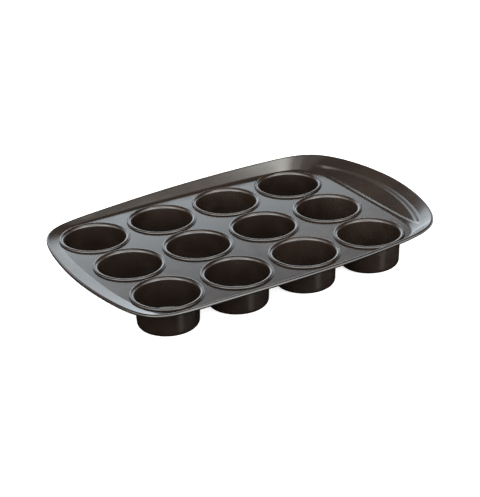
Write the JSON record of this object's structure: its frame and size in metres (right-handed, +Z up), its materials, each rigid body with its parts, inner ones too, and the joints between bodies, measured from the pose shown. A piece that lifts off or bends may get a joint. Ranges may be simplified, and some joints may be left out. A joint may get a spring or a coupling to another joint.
{
  "type": "muffin tin",
  "caption": "Muffin tin with drawn cups seamed into a pressed tray, a wired rolled rim and one wide grip end with a finger pocket.",
  "frame": {"origin": "centre of the object's outline, on the plane that the cups' bottoms stand on", "axes": "+X along the long side towards the wide grip, +Y across, +Z up out of the cups"},
  "size_m": [0.4262, 0.2976, 0.0513],
  "materials": {
    "tray_coating": "satin dark grey nonstick coating on steel",
    "cup_coating": "satin dark brown-grey nonstick coating on steel",
    "rim_wire_steel": "drawn steel wire"
  },
  "bodies": {
    "root": {"tray": "tray_coating", "rim_wire": "rim_wire_steel", "cup_a1": "cup_coating", "cup_a2": "cup_coating", "cup_a3": "cup_coating", "cup_b1": "cup_coating", "cup_b2": "cup_coating", "cup_b3": "cup_coating", "cup_c1": "cup_coating", "cup_c2": "cup_coating", "cup_c3": "cup_coating", "cup_d1": "cup_coating", "cup_d2": "cup_coating", "cup_d3": "cup_coating"}
  },
  "joints": []
}
